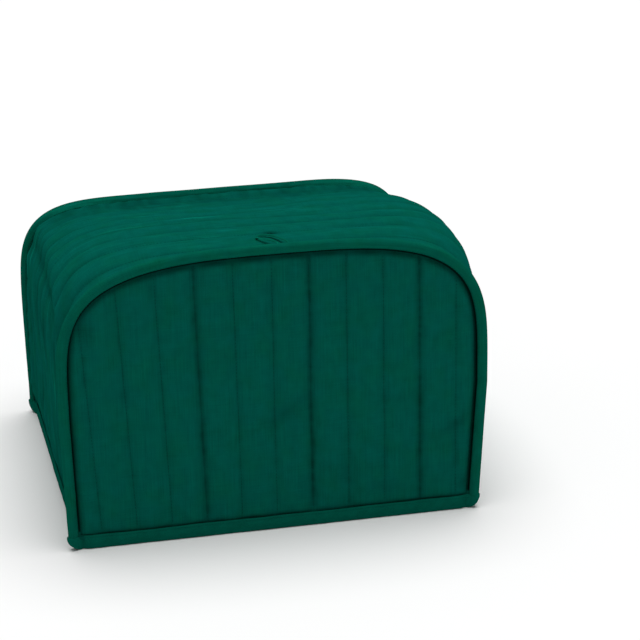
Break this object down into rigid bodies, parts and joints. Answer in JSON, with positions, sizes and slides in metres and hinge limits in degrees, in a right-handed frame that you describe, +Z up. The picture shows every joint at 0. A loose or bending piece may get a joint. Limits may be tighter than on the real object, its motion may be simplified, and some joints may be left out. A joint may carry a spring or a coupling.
{
  "type": "quilted toaster cover",
  "caption": "Fitted cloth cover, quilted, with two arched panels, a long gusset between them, bound seams and hem, and a small loop behind the front seam; it stands on its hem, open below.",
  "frame": {"origin": "on the ground under the middle of the part's box", "axes": "+Z up, the taller arched panel faces -Y, +X to the right of someone who looks at that panel"},
  "size_m": [0.3048, 0.2592, 0.2082],
  "materials": {
    "quilted_cloth": "matt plain-weave cotton, quilted in rows an inch apart",
    "binding_tape": "matt cotton tape, folded double"
  },
  "bodies": {
    "root": {"front_panel": "quilted_cloth", "back_panel": "quilted_cloth", "gusset": "quilted_cloth", "front_binding": "binding_tape", "back_binding": "binding_tape", "hem_binding": "binding_tape", "hang_loop": "binding_tape"}
  },
  "joints": []
}
